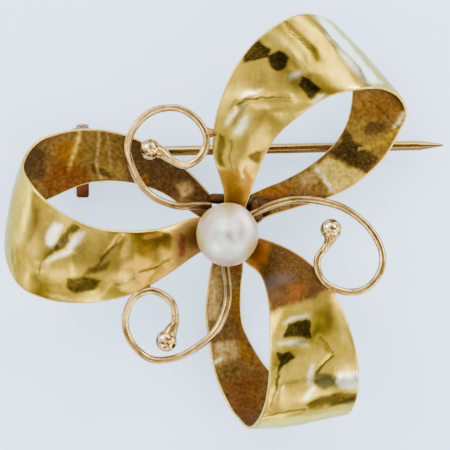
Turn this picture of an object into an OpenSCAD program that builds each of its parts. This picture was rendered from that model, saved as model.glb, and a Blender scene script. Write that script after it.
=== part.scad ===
// Ribbon bow brooch with one pearl, lying face up on its back.
// X runs along the pin towards its point, Y runs up the front, and Z points at the viewer.
// The origin is on the surface it lies on, under the middle of the bow.

/* [Ribbon loops] */
// Thickness of the gold sheet
sheet_t = 0.35; // [0.25:0.05:0.5]
// How far the middle of the sheet bulges out between its two edges
sheet_crown = 0.3; // [0:0.05:0.5]

/* [Wire scrolls] */
// Diameter of the scroll wire
wire_d = 0.76; // [0.6:0.02:0.9]
// Diameter of the ball on each wire's end
ball_d = 2.0; // [1.6:0.1:2.2]

/* [Pearl and its seat] */
// Diameter of the pearl
pearl_d = 6.3; // [5.8:0.1:6.4]
// Height of the pearl's middle
pearl_z = 9.4; // [9.4:0.1:9.8]
// Diameter of the peg inside the pearl
peg_d = 0.7; // [0.5:0.1:0.8]
// Depth of the hole drilled in the pearl
drill_depth = 2.1; // [1.5:0.1:3]

/* [Pin, hinge and catch] */
// Diameter of the pin stem
stem_d = 1.0; // [0.9:0.02:1.04]
// Length of the pin from the hinge to its point
stem_len = 36.3; // [34:0.1:37]
// Height of the pin at the hinge
stem_z = 1.45; // [1.4:0.05:1.5]
// Outer diameter of the hinge knuckles
knuckle_d = 1.3; // [1.2:0.05:1.4]
// Diameter of the hinge rivet
rivet_d = 0.6; // [0.5:0.02:0.64]
// Clearance around the rivet, all round
rivet_gap = 0.03; // [0.02:0.01:0.05]
// Lean of the hinge barrel, which turns the open side of the catch
hinge_lean = 20; // [15:1:22]

/* [Hidden] */
gold = "goldenrod";
rose_gold = "darkgoldenrod";

// Each row is one cross-section of a ribbon, from the front end, out, round the turn and back.
// Columns: edge beside the opening x, y, z; far edge x, y, z.
LEFT_LOOP = [
    [-1.2, 0.0, 5.9, -1.0, -2.6, 5.9],
    [-2.9, 0.4, 6.6, -2.5, -3.2, 6.5],
    [-6.1, -0.6, 8.4, -5.4, -5.2, 7.9],
    [-9.4, -0.9, 10.0, -8.9, -7.2, 9.1],
    [-12.9, -0.5, 10.9, -13.2, -8.1, 9.7],
    [-16.3, 1.1, 10.6, -17.5, -7.8, 9.4],
    [-18.8, 3.4, 9.4, -20.6, -6.1, 8.2],
    [-20.0, 5.7, 7.2, -21.8, -2.3, 6.0],
    [-18.7, 8.0, 5.2, -20.2, 0.7, 3.6],
    [-16.2, 9.0, 4.2, -16.8, 2.6, 2.3],
    [-12.9, 9.3, 4.0, -13.3, 3.9, 2.1],
    [-9.4, 8.6, 4.1, -9.6, 3.9, 2.6],
    [-5.9, 6.8, 4.4, -6.3, 2.9, 3.4],
    [-3.4, 5.0, 4.8, -4.0, 1.4, 4.4],
    [-1.0, 2.4, 5.3, -1.8, 0.0, 5.3]
];
UPPER_LOOP = [
    [1.8, 0.3, 5.9, 0.0, 0.6, 5.9],
    [2.6, 2.4, 6.6, 0.0, 3.0, 6.7],
    [3.7, 5.6, 7.9, -1.0, 6.5, 8.1],
    [5.2, 8.3, 9.2, -1.0, 9.4, 9.0],
    [7.6, 10.5, 10.4, -0.2, 12.4, 9.8],
    [10.2, 12.2, 10.9, 1.4, 15.8, 10.0],
    [13.0, 13.0, 10.4, 4.1, 18.8, 9.6],
    [14.9, 13.2, 9.3, 7.5, 20.6, 8.6],
    [16.2, 13.1, 7.8, 10.4, 20.1, 7.0],
    [17.7, 12.3, 6.2, 12.2, 17.7, 5.4],
    [18.4, 10.8, 4.9, 12.9, 13.8, 4.0],
    [17.7, 9.0, 4.4, 12.5, 10.4, 3.3],
    [16.0, 6.2, 4.1, 11.0, 7.7, 3.1],
    [13.2, 3.7, 4.2, 8.6, 5.6, 3.6],
    [9.9, 2.1, 4.5, 6.1, 4.2, 4.3],
    [7.1, 1.3, 4.8, 3.9, 3.3, 4.8],
    [4.2, 0.3, 5.2, 2.3, 2.5, 5.2],
    [2.7, -1.1, 5.3, 0.9, 0.9, 5.3]
];
LOWER_LOOP = [
    [0.9, -2.9, 5.9, 2.0, -1.6, 5.9],
    [2.3, -4.2, 6.6, 3.9, -1.7, 6.6],
    [3.7, -5.5, 7.6, 6.7, -2.8, 7.6],
    [4.4, -7.9, 8.9, 9.3, -4.8, 8.8],
    [4.6, -11.4, 10.3, 11.7, -8.4, 9.8],
    [4.5, -14.9, 10.9, 13.1, -12.4, 10.2],
    [4.2, -17.6, 10.4, 13.5, -15.9, 9.6],
    [3.5, -19.6, 9.2, 13.1, -18.1, 8.3],
    [2.5, -20.6, 7.4, 12.1, -19.2, 6.4],
    [1.4, -19.7, 5.2, 9.5, -18.4, 4.2],
    [0.4, -18.4, 3.8, 7.0, -17.0, 2.2],
    [-0.7, -15.9, 2.8, 4.4, -14.8, 0.7],
    [-1.4, -12.5, 2.6, 2.4, -11.6, 0.2],
    [-1.8, -9.4, 3.0, 1.8, -9.5, 1.3],
    [-1.6, -6.7, 3.8, 1.8, -6.7, 2.8],
    [-1.3, -4.6, 4.6, 2.0, -4.3, 4.2],
    [-0.6, -2.5, 5.3, 1.6, -2.3, 5.3]
];

// Middle line of each scroll wire, from the centre out to the ball.
// Columns: x, y, z. The last row is the middle of the ball.
LEFT_SCROLL = [
    [-1.2, 1.6, 6.0], [-2.7, 1.6, 6.3], [-4.2, 1.5, 6.4], [-5.6, 1.8, 6.5], [-6.9, 2.4, 6.6],
    [-8.0, 3.4, 6.7], [-8.9, 4.9, 6.9], [-9.6, 7.3, 7.2], [-8.8, 9.5, 7.5], [-7.0, 11.0, 7.8], [-4.6, 11.3, 8.2],
    [-2.7, 10.2, 8.6], [-1.7, 8.5, 8.8], [-2.1, 6.7, 8.8], [-3.7, 5.6, 8.6], [-5.3, 6.2, 8.3],
    [-6.2, 6.9, 8.1], [-7.3, 7.2, 8.0]
];
LOWER_SCROLL = [
    [0.2, -2.6, 6.0], [0.2, -4.6, 6.3], [0.4, -6.4, 6.5], [0.3, -8.4, 6.7], [-0.7, -10.8, 6.9],
    [-2.6, -12.5, 7.1], [-4.8, -13.6, 7.4], [-7.3, -13.7, 7.8], [-9.2, -12.0, 8.2],
    [-9.8, -9.8, 8.6], [-9.0, -7.7, 8.9], [-7.1, -6.9, 9.0], [-5.2, -8.0, 8.8],
    [-4.8, -9.8, 8.6], [-5.2, -10.8, 8.5], [-5.7, -11.9, 8.4]
];
RIGHT_SCROLL = [
    [1.5, 0.0, 6.0], [3.0, 0.8, 6.3], [5.0, 1.7, 6.5], [7.4, 2.2, 6.6], [10.3, 1.9, 6.9],
    [12.4, 1.1, 7.3], [14.4, -0.5, 7.7], [15.7, -2.7, 8.1], [15.7, -4.8, 8.6],
    [14.3, -6.6, 9.0], [12.2, -7.0, 9.3], [10.0, -6.0, 9.4], [9.3, -4.0, 9.3],
    [10.2, -2.5, 9.1], [10.6, -1.7, 9.1], [10.7, -0.8, 9.0]
];

sheet_cells = 4;
steps_per_row = 4;
wire_sides = 10;
wire_steps = 4;

pearl_x = 0.4;
pearl_y = -1.3;
plate_r = 3;
plate_top = 6;
plate_t = 0.8;
seat_r = 1.4;
seat_t = 0.2;
root_solder_d = 0.56;

hinge_x = -14.2;
hinge_y = 6.9;
stem_yaw = 1.35;
neck_len = 2.6;
shaft_end = 24;
taper_start = 33.9;
taper_d = 0.97 * stem_d;
point_d = 0.24;
half_mid = 0.75;
knuckle_gap = 0.08;
barrel_top = 2.9;
barrel_bottom = -2.3;
leaf_bottom = -4.4;
leaf_w = 1.9;
tongue_w = 1.3;
tongue_corner_r = 0.3;
leaf_t = 0.35;
leaf_gap = 0.08;
bore_d = rivet_d + 2 * rivet_gap;

catch_at = 28.6;
catch_len = 1.8;
catch_inner_d = 1.24;
catch_wall = 0.42;
catch_jaw = 1.35;
catch_post = 1.8;

// Smooth curve through rows of numbers
function between(a, b, c, d, t) =
    0.5 * (2 * b + (c - a) * t + (2 * a - 5 * b + 4 * c - d) * t * t
    + (3 * b - a - 3 * c + d) * t * t * t);
function smooth(rows, steps) = let (last = len(rows) - 1) [
    for (i = [0 : last - 1], s = [0 : steps - 1])
        between(rows[max(i - 1, 0)], rows[i], rows[i + 1], rows[min(i + 2, last)], s / steps),
    rows[last]
];
function unit(v) = v / norm(v);

function edge_near(row) = [row[0], row[1], row[2]];
function edge_far(row) = [row[3], row[4], row[5]];
function across(row, v) = edge_near(row) * (1 - v) + edge_far(row) * v;
function along(rows, i, v) =
    across(rows[min(i + 1, len(rows) - 1)], v) - across(rows[max(i - 1, 0)], v);
function outward(rows, i, v) =
    unit(cross(along(rows, i, v), edge_far(rows[i]) - edge_near(rows[i])));
function skin(rows, i, v, side) =
    across(rows[i], v)
    + outward(rows, i, v) * (sheet_crown * 4 * v * (1 - v) + side * sheet_t / 2);

// Faces of a tube whose rings have n points each, closed at both ends
function tube_faces(rings, n) = [
    for (i = [0 : rings - 2], j = [0 : n - 1])
        [i * n + j, i * n + (j + 1) % n, (i + 1) * n + (j + 1) % n],
    for (i = [0 : rings - 2], j = [0 : n - 1])
        [i * n + j, (i + 1) * n + (j + 1) % n, (i + 1) * n + j],
    [for (j = [n - 1 : -1 : 0]) j],
    [for (j = [0 : n - 1]) (rings - 1) * n + j]
];

// A strip of sheet bent through the table's cross-sections
module ribbon(table) {
    rows = smooth(table, steps_per_row);
    points = [
        for (i = [0 : len(rows) - 1]) each [
            for (j = [0 : sheet_cells]) skin(rows, i, j / sheet_cells, 1),
            for (j = [sheet_cells : -1 : 0]) skin(rows, i, j / sheet_cells, -1)
        ]
    ];
    color(gold) polyhedron(points, tube_faces(len(rows), 2 * sheet_cells + 2), convexity = 8);
}

// Round wire along the table's points
module wire(table) {
    path = smooth(table, wire_steps);
    last = len(path) - 1;
    points = [
        for (i = [0 : last])
            let (
                ahead = unit(path[min(i + 1, last)] - path[max(i - 1, 0)]),
                aside = unit(cross([0, 0, 1], ahead)),
                above = cross(ahead, aside)
            )
            for (j = [0 : wire_sides - 1])
                let (a = -360 * j / wire_sides)
                path[i] + wire_d / 2 * (cos(a) * aside + sin(a) * above)
    ];
    polyhedron(points, tube_faces(last + 1, wire_sides), convexity = 8);
}

module bead(place, d) {
    translate(place) sphere(d = d, $fn = 16);
}

// A wire that curls up and ends in a ball, with the neck where the ball was melted on
module scroll(table) {
    last = len(table) - 1;
    color(rose_gold) {
        wire(table);
        bead(table[last], ball_d);
        hull() {
            bead(table[last] * 0.6 + table[last - 1] * 0.4, 0.75 * ball_d);
            bead(table[last - 1], wire_d);
        }
    }
}

// A drop of solder between two places
module solder(from, to, d) {
    color(gold) hull() {
        bead(from, d);
        bead(to, d);
    }
}

module centre_plate() {
    color(gold) translate([pearl_x, pearl_y, 0]) {
        translate([0, 0, plate_top - plate_t]) cylinder(r = plate_r, h = plate_t, $fn = 48);
        cylinder_on(plate_top, seat_r, seat_t);
        cylinder_on(plate_top, peg_d / 2, drill_depth - 0.2 + pearl_z - pearl_d / 2 - plate_top);
    }
}

// A short round post standing at height z, sunk a little into what carries it
module cylinder_on(z, r, h) {
    sunk = 0.1;
    translate([0, 0, z - sunk]) cylinder(r = r, h = h + sunk, $fn = 32);
}

// The frame in which the hinge barrel runs along Y and the closed pin along X
module at_hinge() {
    translate([hinge_x, hinge_y, stem_z]) rotate([hinge_lean, 0, 0]) children();
}

// Hook with straight jaws around the pin, open away from the bow
module catch_hook() {
    outer_r = catch_inner_d / 2 + catch_wall;
    color(gold) at_hinge()
        translate([catch_at - catch_len / 2, (catch_at) * tan(stem_yaw), 0])
        rotate([90, 0, 90]) linear_extrude(catch_len) difference() {
            union() {
                circle(r = outer_r, $fn = 32);
                translate([-outer_r, -catch_jaw]) square([2 * outer_r, catch_jaw]);
                translate([-0.6, 0]) square([1.2, catch_post]);
            }
            circle(d = catch_inner_d, $fn = 32);
            translate([-catch_inner_d / 2, -catch_jaw - 1])
                square([catch_inner_d, catch_jaw + 1]);
        }
}

// Solder that runs from both ends of a ribbon into the centre plate
module root_solder(table) {
    for (row = [table[0], table[len(table) - 1]])
        solder(across(row, 0.5), [pearl_x, pearl_y, row[2]], root_solder_d);
}

module bow() {
    for (table = [LEFT_LOOP, UPPER_LOOP, LOWER_LOOP]) {
        ribbon(table);
        root_solder(table);
    }
    centre_plate();
    scroll(LEFT_SCROLL);
    scroll(LOWER_SCROLL);
    scroll(RIGHT_SCROLL);
    catch_hook();
    solder([-1.6, 8.8, 8.8], [-0.9, 8.9, 8.9], 0.7);
    solder([-8.2, -7.1, 9.0], [-7.6, -6.6, 8.8], 0.7);
    solder([10.9, -6.8, 9.4], [10.7, -6.9, 9.4], 0.9);
}

module pearl() {
    hole_d = peg_d + 0.1;
    color("ivory") translate([pearl_x, pearl_y, pearl_z]) difference() {
        sphere(d = pearl_d, $fn = 64);
        translate([0, 0, -pearl_d / 2 - 1]) cylinder(d = hole_d, h = drill_depth + 1, $fn = 32);
    }
}

// One outer knuckle with the web that joins it to the leaf
module outer_knuckle(from, to) {
    translate([0, from, 0]) rotate([-90, 0, 0]) cylinder(d = knuckle_d, h = to - from, $fn = 32);
    translate([-0.35, from, 0]) cube([0.7, to - from, knuckle_d / 2 + leaf_gap + leaf_t / 2]);
}

module hinge_leaf() {
    leaf_z = knuckle_d / 2 + leaf_gap;
    color(rose_gold) at_hinge() difference() {
        union() {
            outer_knuckle(half_mid + knuckle_gap, barrel_top);
            outer_knuckle(barrel_bottom, -half_mid - knuckle_gap);
            translate([-leaf_w / 2, barrel_bottom, leaf_z])
                cube([leaf_w, barrel_top - barrel_bottom, leaf_t]);
            hull() {
                for (side = [-1, 1])
                    translate([side * (tongue_w / 2 - tongue_corner_r), leaf_bottom + tongue_corner_r, leaf_z])
                        cylinder(r = tongue_corner_r, h = leaf_t, $fn = 24);
                translate([-tongue_w / 2, barrel_bottom, leaf_z]) cube([tongue_w, 0.1, leaf_t]);
            }
        }
        translate([0, barrel_bottom - 1, 0]) rotate([-90, 0, 0])
            cylinder(d = bore_d, h = barrel_top - barrel_bottom + 2, $fn = 32);
    }
}

module hinge_rivet() {
    color(rose_gold) at_hinge()
        translate([0, barrel_bottom - 0.05, 0]) rotate([-90, 0, 0])
        cylinder(d = rivet_d, h = barrel_top - barrel_bottom + 0.1, $fn = 32);
}

module pin_stem() {
    color(rose_gold) at_hinge() difference() {
        union() {
            translate([0, -half_mid, 0]) rotate([-90, 0, 0])
                cylinder(d = knuckle_d, h = 2 * half_mid, $fn = 32);
            rotate([0, 90, stem_yaw]) {
                cylinder(d1 = 1.15 * stem_d, d2 = stem_d, h = neck_len, $fn = 32);
                translate([0, 0, neck_len])
                    cylinder(d = stem_d, h = shaft_end - neck_len, $fn = 32);
                translate([0, 0, shaft_end])
                    cylinder(d1 = stem_d, d2 = taper_d, h = taper_start - shaft_end, $fn = 32);
                translate([0, 0, taper_start])
                    cylinder(d1 = taper_d, d2 = point_d, h = stem_len - taper_start, $fn = 32);
            }
        }
        translate([0, -half_mid - 1, 0]) rotate([-90, 0, 0])
            cylinder(d = bore_d, h = 2 * half_mid + 2, $fn = 32);
    }
}

bow();
pearl();
hinge_leaf();
hinge_rivet();
pin_stem();
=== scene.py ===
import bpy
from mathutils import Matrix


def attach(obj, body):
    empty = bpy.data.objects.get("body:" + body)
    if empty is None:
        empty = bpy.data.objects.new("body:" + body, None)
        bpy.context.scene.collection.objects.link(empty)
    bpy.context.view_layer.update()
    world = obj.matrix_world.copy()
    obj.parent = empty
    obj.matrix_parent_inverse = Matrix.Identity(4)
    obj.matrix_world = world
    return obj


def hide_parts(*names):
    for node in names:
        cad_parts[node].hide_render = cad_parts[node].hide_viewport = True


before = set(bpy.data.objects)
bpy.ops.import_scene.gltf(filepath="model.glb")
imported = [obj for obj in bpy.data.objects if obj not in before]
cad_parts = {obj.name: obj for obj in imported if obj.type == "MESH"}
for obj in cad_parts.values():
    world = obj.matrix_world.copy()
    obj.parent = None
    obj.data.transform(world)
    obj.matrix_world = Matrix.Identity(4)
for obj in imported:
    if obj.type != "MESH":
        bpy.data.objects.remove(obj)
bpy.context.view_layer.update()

import math

import bpy
import numpy as np
from mathutils import Vector, noise

MM = 0.001

# Sizes in mm, as in the CAD source.
SHEET_T = 0.35
SHEET_CROWN = 0.3
WIRE_D = 0.76
BALL_D = 2.0
PEARL_D = 6.3
PEARL_AT = (0.4, -1.3, 9.4)
PLATE_R = 3.0
PLATE_TOP = 6.0
PLATE_T = 0.8
SEAT_R = 1.4
SEAT_T = 0.2
ROOT_SOLDER_D = 0.56
HINGE_AT = (-14.2, 6.9, 1.45)
HINGE_LEAN = math.radians(20)
STEM_YAW = math.radians(1.35)
CATCH_AT = 28.6
CATCH_LEN = 1.8
CATCH_INNER_R = 0.62
CATCH_WALL = 0.42
CATCH_JAW = 1.35
CATCH_POST = 1.8

# Each row is one cross-section of a ribbon: edge beside the opening x, y, z; far edge x, y, z.
LEFT_LOOP = [
    [-1.2, 0.0, 5.9, -1.0, -2.6, 5.9],
    [-2.9, 0.4, 6.6, -2.5, -3.2, 6.5],
    [-6.1, -0.6, 8.4, -5.4, -5.2, 7.9],
    [-9.4, -0.9, 10.0, -8.9, -7.2, 9.1],
    [-12.9, -0.5, 10.9, -13.2, -8.1, 9.7],
    [-16.3, 1.1, 10.6, -17.5, -7.8, 9.4],
    [-18.8, 3.4, 9.4, -20.6, -6.1, 8.2],
    [-20.0, 5.7, 7.2, -21.8, -2.3, 6.0],
    [-18.7, 8.0, 5.2, -20.2, 0.7, 3.6],
    [-16.2, 9.0, 4.2, -16.8, 2.6, 2.3],
    [-12.9, 9.3, 4.0, -13.3, 3.9, 2.1],
    [-9.4, 8.6, 4.1, -9.6, 3.9, 2.6],
    [-5.9, 6.8, 4.4, -6.3, 2.9, 3.4],
    [-3.4, 5.0, 4.8, -4.0, 1.4, 4.4],
    [-1.0, 2.4, 5.3, -1.8, 0.0, 5.3],
]
UPPER_LOOP = [
    [1.8, 0.3, 5.9, 0.0, 0.6, 5.9],
    [2.6, 2.4, 6.6, 0.0, 3.0, 6.7],
    [3.7, 5.6, 7.9, -1.0, 6.5, 8.1],
    [5.2, 8.3, 9.2, -1.0, 9.4, 9.0],
    [7.6, 10.5, 10.4, -0.2, 12.4, 9.8],
    [10.2, 12.2, 10.9, 1.4, 15.8, 10.0],
    [13.0, 13.0, 10.4, 4.1, 18.8, 9.6],
    [14.9, 13.2, 9.3, 7.5, 20.6, 8.6],
    [16.2, 13.1, 7.8, 10.4, 20.1, 7.0],
    [17.7, 12.3, 6.2, 12.2, 17.7, 5.4],
    [18.4, 10.8, 4.9, 12.9, 13.8, 4.0],
    [17.7, 9.0, 4.4, 12.5, 10.4, 3.3],
    [16.0, 6.2, 4.1, 11.0, 7.7, 3.1],
    [13.2, 3.7, 4.2, 8.6, 5.6, 3.6],
    [9.9, 2.1, 4.5, 6.1, 4.2, 4.3],
    [7.1, 1.3, 4.8, 3.9, 3.3, 4.8],
    [4.2, 0.3, 5.2, 2.3, 2.5, 5.2],
    [2.7, -1.1, 5.3, 0.9, 0.9, 5.3],
]
LOWER_LOOP = [
    [0.9, -2.9, 5.9, 2.0, -1.6, 5.9],
    [2.3, -4.2, 6.6, 3.9, -1.7, 6.6],
    [3.7, -5.5, 7.6, 6.7, -2.8, 7.6],
    [4.4, -7.9, 8.9, 9.3, -4.8, 8.8],
    [4.6, -11.4, 10.3, 11.7, -8.4, 9.8],
    [4.5, -14.9, 10.9, 13.1, -12.4, 10.2],
    [4.2, -17.6, 10.4, 13.5, -15.9, 9.6],
    [3.5, -19.6, 9.2, 13.1, -18.1, 8.3],
    [2.5, -20.6, 7.4, 12.1, -19.2, 6.4],
    [1.4, -19.7, 5.2, 9.5, -18.4, 4.2],
    [0.4, -18.4, 3.8, 7.0, -17.0, 2.2],
    [-0.7, -15.9, 2.8, 4.4, -14.8, 0.7],
    [-1.4, -12.5, 2.6, 2.4, -11.6, 0.2],
    [-1.8, -9.4, 3.0, 1.8, -9.5, 1.3],
    [-1.6, -6.7, 3.8, 1.8, -6.7, 2.8],
    [-1.3, -4.6, 4.6, 2.0, -4.3, 4.2],
    [-0.6, -2.5, 5.3, 1.6, -2.3, 5.3],
]

# Middle line of each scroll wire, from the centre out. The last row is the middle of the ball.
LEFT_SCROLL = [
    [-1.2, 1.6, 6.0], [-2.7, 1.6, 6.3], [-4.2, 1.5, 6.4], [-5.6, 1.8, 6.5], [-6.9, 2.4, 6.6],
    [-8.0, 3.4, 6.7], [-8.9, 4.9, 6.9], [-9.6, 7.3, 7.2], [-8.8, 9.5, 7.5],
    [-7.0, 11.0, 7.8], [-4.6, 11.3, 8.2], [-2.7, 10.2, 8.6], [-1.7, 8.5, 8.8],
    [-2.1, 6.7, 8.8], [-3.7, 5.6, 8.6], [-5.3, 6.2, 8.3], [-6.2, 6.9, 8.1],
    [-7.3, 7.2, 8.0],
]
LOWER_SCROLL = [
    [0.2, -2.6, 6.0], [0.2, -4.6, 6.3], [0.4, -6.4, 6.5], [0.3, -8.4, 6.7],
    [-0.7, -10.8, 6.9], [-2.6, -12.5, 7.1], [-4.8, -13.6, 7.4], [-7.3, -13.7, 7.8],
    [-9.2, -12.0, 8.2], [-9.8, -9.8, 8.6], [-9.0, -7.7, 8.9], [-7.1, -6.9, 9.0],
    [-5.2, -8.0, 8.8], [-4.8, -9.8, 8.6], [-5.2, -10.8, 8.5], [-5.7, -11.9, 8.4],
]
RIGHT_SCROLL = [
    [1.5, 0.0, 6.0], [3.0, 0.8, 6.3], [5.0, 1.7, 6.5], [7.4, 2.2, 6.6],
    [10.3, 1.9, 6.9], [12.4, 1.1, 7.3], [14.4, -0.5, 7.7], [15.7, -2.7, 8.1],
    [15.7, -4.8, 8.6], [14.3, -6.6, 9.0], [12.2, -7.0, 9.3], [10.0, -6.0, 9.4],
    [9.3, -4.0, 9.3], [10.2, -2.5, 9.1], [10.6, -1.7, 9.1], [10.7, -0.8, 9.0],
]

# Colours.


def rgb(r, g, b):
    """An 8-bit display colour as linear light."""
    return np.array([((c / 255 + 0.055) / 1.055) ** 2.4 if c > 10 else c / 3294.6 for c in (r, g, b)])


# Besides the metal's own tones, some colours stand in for light: GLINT is painted highlight, DARK and
# GREY_DARK are painted dark reflection and painted shade along creases, GOLD_PALE and ROSE_PALE also serve
# as painted highlight, OLIVE also as painted shading, and ROSE_DARK also as painted shade and painted dark
# reflection.
GOLD = rgb(156, 126, 22)
GOLD_PALE = rgb(228, 196, 78)
GOLD_DEEP = rgb(130, 92, 14)
DARK = rgb(42, 33, 14)
GREY_DARK = rgb(86, 80, 44)
GLINT = rgb(255, 252, 214)
AMBER = rgb(150, 92, 8)
BROWN = rgb(112, 80, 40)
UMBER = rgb(66, 42, 20)
DEEP_BROWN = rgb(86, 58, 32)
RED_BROWN = rgb(128, 68, 26)
MAROON = rgb(84, 34, 20)
BLUISH = rgb(72, 60, 52)
TAN = rgb(184, 150, 86)
OLIVE = rgb(120, 95, 34)
ROSE = rgb(182, 136, 66)
ROSE_PALE = rgb(252, 222, 136)
ROSE_DARK = rgb(78, 44, 18)
# Paint in one of these colours dulls the metal too.
TARNISH = (AMBER, BROWN, UMBER, DEEP_BROWN, RED_BROWN, MAROON, BLUISH)


def smoothstep(low, high, value):
    t = np.clip((value - low) / (high - low), 0, 1)
    return t * t * (3 - 2 * t)


SEED_SHIFT = (7.3, 3.1, 5.7)
CLOUD_FALL = 0.6
CLOUD_STEP = 2.1


def clouds(points, size, seed, octaves=3):
    """Soft noise from 0 to 1 at each point, with patches of the given size in mm."""
    shift = Vector([seed * step for step in SEED_SHIFT])
    values = [noise.fractal(Vector(p) / size + shift, CLOUD_FALL, CLOUD_STEP, octaves) for p in points]
    return np.clip(0.5 + 0.5 * np.array(values), 0, 1)


def near_line(xy, line):
    """Distance of each point from a line of corners, and how far along the line it lies, 0 to 1."""
    line = np.array(line, float)
    best = np.full(len(xy), 1e9)
    share = np.zeros(len(xy))
    for i, (a, b) in enumerate(zip(line[:-1], line[1:])):
        t = np.clip(((xy - a) @ (b - a)) / max((b - a) @ (b - a), 1e-9), 0, 1)
        gap = np.linalg.norm(xy - (a + t[:, None] * (b - a)), axis=1)
        closer = gap < best
        best[closer] = gap[closer]
        share[closer] = (i + t[closer]) / (len(line) - 1)
    return best, share


def in_patch(xy, corners):
    """Signed distance to the outline of a patch, negative inside it."""
    gap, _ = near_line(xy, corners + corners[:1])
    inside = np.zeros(len(xy), bool)
    for (ax, ay), (bx, by) in zip(corners, corners[1:] + corners[:1]):
        if ay == by:
            continue
        crosses = (ay > xy[:, 1]) != (by > xy[:, 1])
        inside ^= crosses & (xy[:, 0] < (bx - ax) * (xy[:, 1] - ay) / (by - ay) + ax)
    return np.where(inside, -gap, gap)


def blend_in(colours, mask, colour):
    return colours * (1 - mask[:, None]) + colour * mask[:, None]


# Marks and creases lie where they are seen straight from the front, in tenths of a mm to the right and down
# from the view's upper left corner. The frame's x = 0, y = 0 is at VIEW_ORIGIN in that view.
VIEW_SCALE = 10
VIEW_ORIGIN = (223.5, 221.5)

# A patch has a colour, a strength, the softness of its edge and its corners. A streak has a colour, a
# strength, two widths, one at each end, and the corners of its line.
# Much of this is painted light: GLINT and GOLD_PALE marks are painted highlights, many on the ridges of
# raised creases; DARK and GREY_DARK marks are painted dark reflections and painted shade along the sunken
# creases; OLIVE marks in the FRONT tables are painted shading.
UPPER_FRONT = [
    (OLIVE, 0.45, 14, [(234, 84), (262, 62), (302, 74), (300, 112), (262, 152), (230, 152)]),
    (OLIVE, 0.5, 10, 8, [(300, 60), (330, 95)]),
    (OLIVE, 0.55, 3, 4, [(322, 30), (338, 58), (353, 76)]),
    (OLIVE, 0.4, 5, 3, [(293, 22), (310, 42), (322, 66)]),
    (GOLD_PALE, 0.9, 4, 4, [(268, 30), (284, 46), (306, 72)]),
    (DARK, 0.95, 1.2, [(258, 40), (263, 46), (271, 51), (269, 60), (256, 62), (243, 65), (242, 59),
                       (248, 48)]),
    (DARK, 1, 1, [(278, 51), (286, 55), (289, 60), (286, 69), (276, 73), (269, 67), (268, 59)]),
    (GLINT, 0.7, 5, 3, [(287, 80), (300, 73)]),
    (DARK, 0.95, 0.6, [(302, 76), (321, 89), (311, 102), (297, 86)]),
    (GLINT, 0.8, 2.5, 2.5, [(311, 104), (323, 95)]),
    (DARK, 0.9, 1, 0.8, [(283, 22), (290, 32), (301, 43), (311, 55), (313, 62)]),
    (GLINT, 0.85, 4, 2, [(242, 98), (250, 93), (261, 91)]),
    (DARK, 0.85, 2.2, 0.7, [(239, 106), (249, 100), (262, 98), (290, 99)]),
    (GREY_DARK, 0.85, 1.5, [(238, 105), (249, 105), (242, 119), (232, 128), (234, 118)]),
    (GREY_DARK, 0.7, 1.5, [(234, 100), (238, 101), (230, 112), (227, 111)]),
    (GLINT, 0.95, 4, 5, [(247, 117), (241, 128), (236, 135)]),
    (GLINT, 0.7, 3, 3, [(235, 112), (226, 126)]),
    (OLIVE, 0.5, 4, 5, [(264, 112), (252, 138), (240, 160)]),
    (DARK, 0.8, 1.8, [(220, 135), (226, 136), (224, 154), (225, 168), (218, 167), (217, 152)]),
    (DARK, 0.5, 1.5, 1, [(231, 142), (230, 158), (231, 170)]),
    (AMBER, 0.85, 2.5, [(216, 169), (228, 171), (240, 176), (246, 166), (252, 180), (250, 206),
                        (222, 206)]),
    (OLIVE, 0.45, 5, [(218, 176), (246, 176), (248, 200), (222, 200)]),
    (UMBER, 0.8, 1.6, [(248, 156), (254, 152), (264, 151), (258, 164), (252, 161)]),
    (GOLD_PALE, 0.8, 2, 2, [(240, 168), (243, 176)]),
    (UMBER, 0.85, 4, 4, [(214, 204), (232, 202), (252, 206)]),
    (GLINT, 0.95, 3, [(316, 16), (324, 18), (345, 40), (382, 84), (366, 84), (344, 60), (330, 40)]),
    (GOLD_PALE, 0.8, 3, 3, [(356, 88), (340, 98), (326, 104)]),
]
UPPER_BACK = [
    (OLIVE, 0.85, 4, [(352, 120), (400, 120), (398, 140), (378, 160), (350, 138)]),
    (AMBER, 0.3, 6, [(352, 92), (400, 96), (404, 118), (352, 120)]),
    (DEEP_BROWN, 0.75, 3, [(362, 129), (371, 122), (386, 120), (389, 127), (377, 133), (366, 136)]),
    (DARK, 0.85, 1.6, [(346, 129), (358, 142), (379, 158), (368, 173), (351, 165), (330, 153), (341, 142)]),
    (GOLD_PALE, 0.7, 2, [(328, 156), (351, 168), (368, 175), (354, 183), (335, 194), (316, 170)]),
    (GOLD, 0.6, 4, 4, [(346, 176), (352, 184)]),
    (GOLD, 0.75, 4, 4, [(366, 148), (382, 142), (397, 130)]),
    (GLINT, 0.6, 3, 3, [(316, 167), (325, 178), (333, 191)]),
    (TAN, 0.55, 3, [(300, 176), (314, 172), (318, 182), (302, 187)]),
    (RED_BROWN, 0.55, 4, [(250, 186), (290, 184), (285, 205), (250, 208)]),
    (MAROON, 0.75, 3, 3, [(262, 201), (300, 196), (326, 197)]),
    (AMBER, 0.5, 2, 2, [(258, 194), (272, 190), (292, 186)]),
    (GLINT, 0.6, 1.5, 2.5, [(393, 127), (400, 121), (405, 112)]),
    (DARK, 0.6, 1, 1, [(370, 101), (384, 112), (398, 128)]),
]
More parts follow.
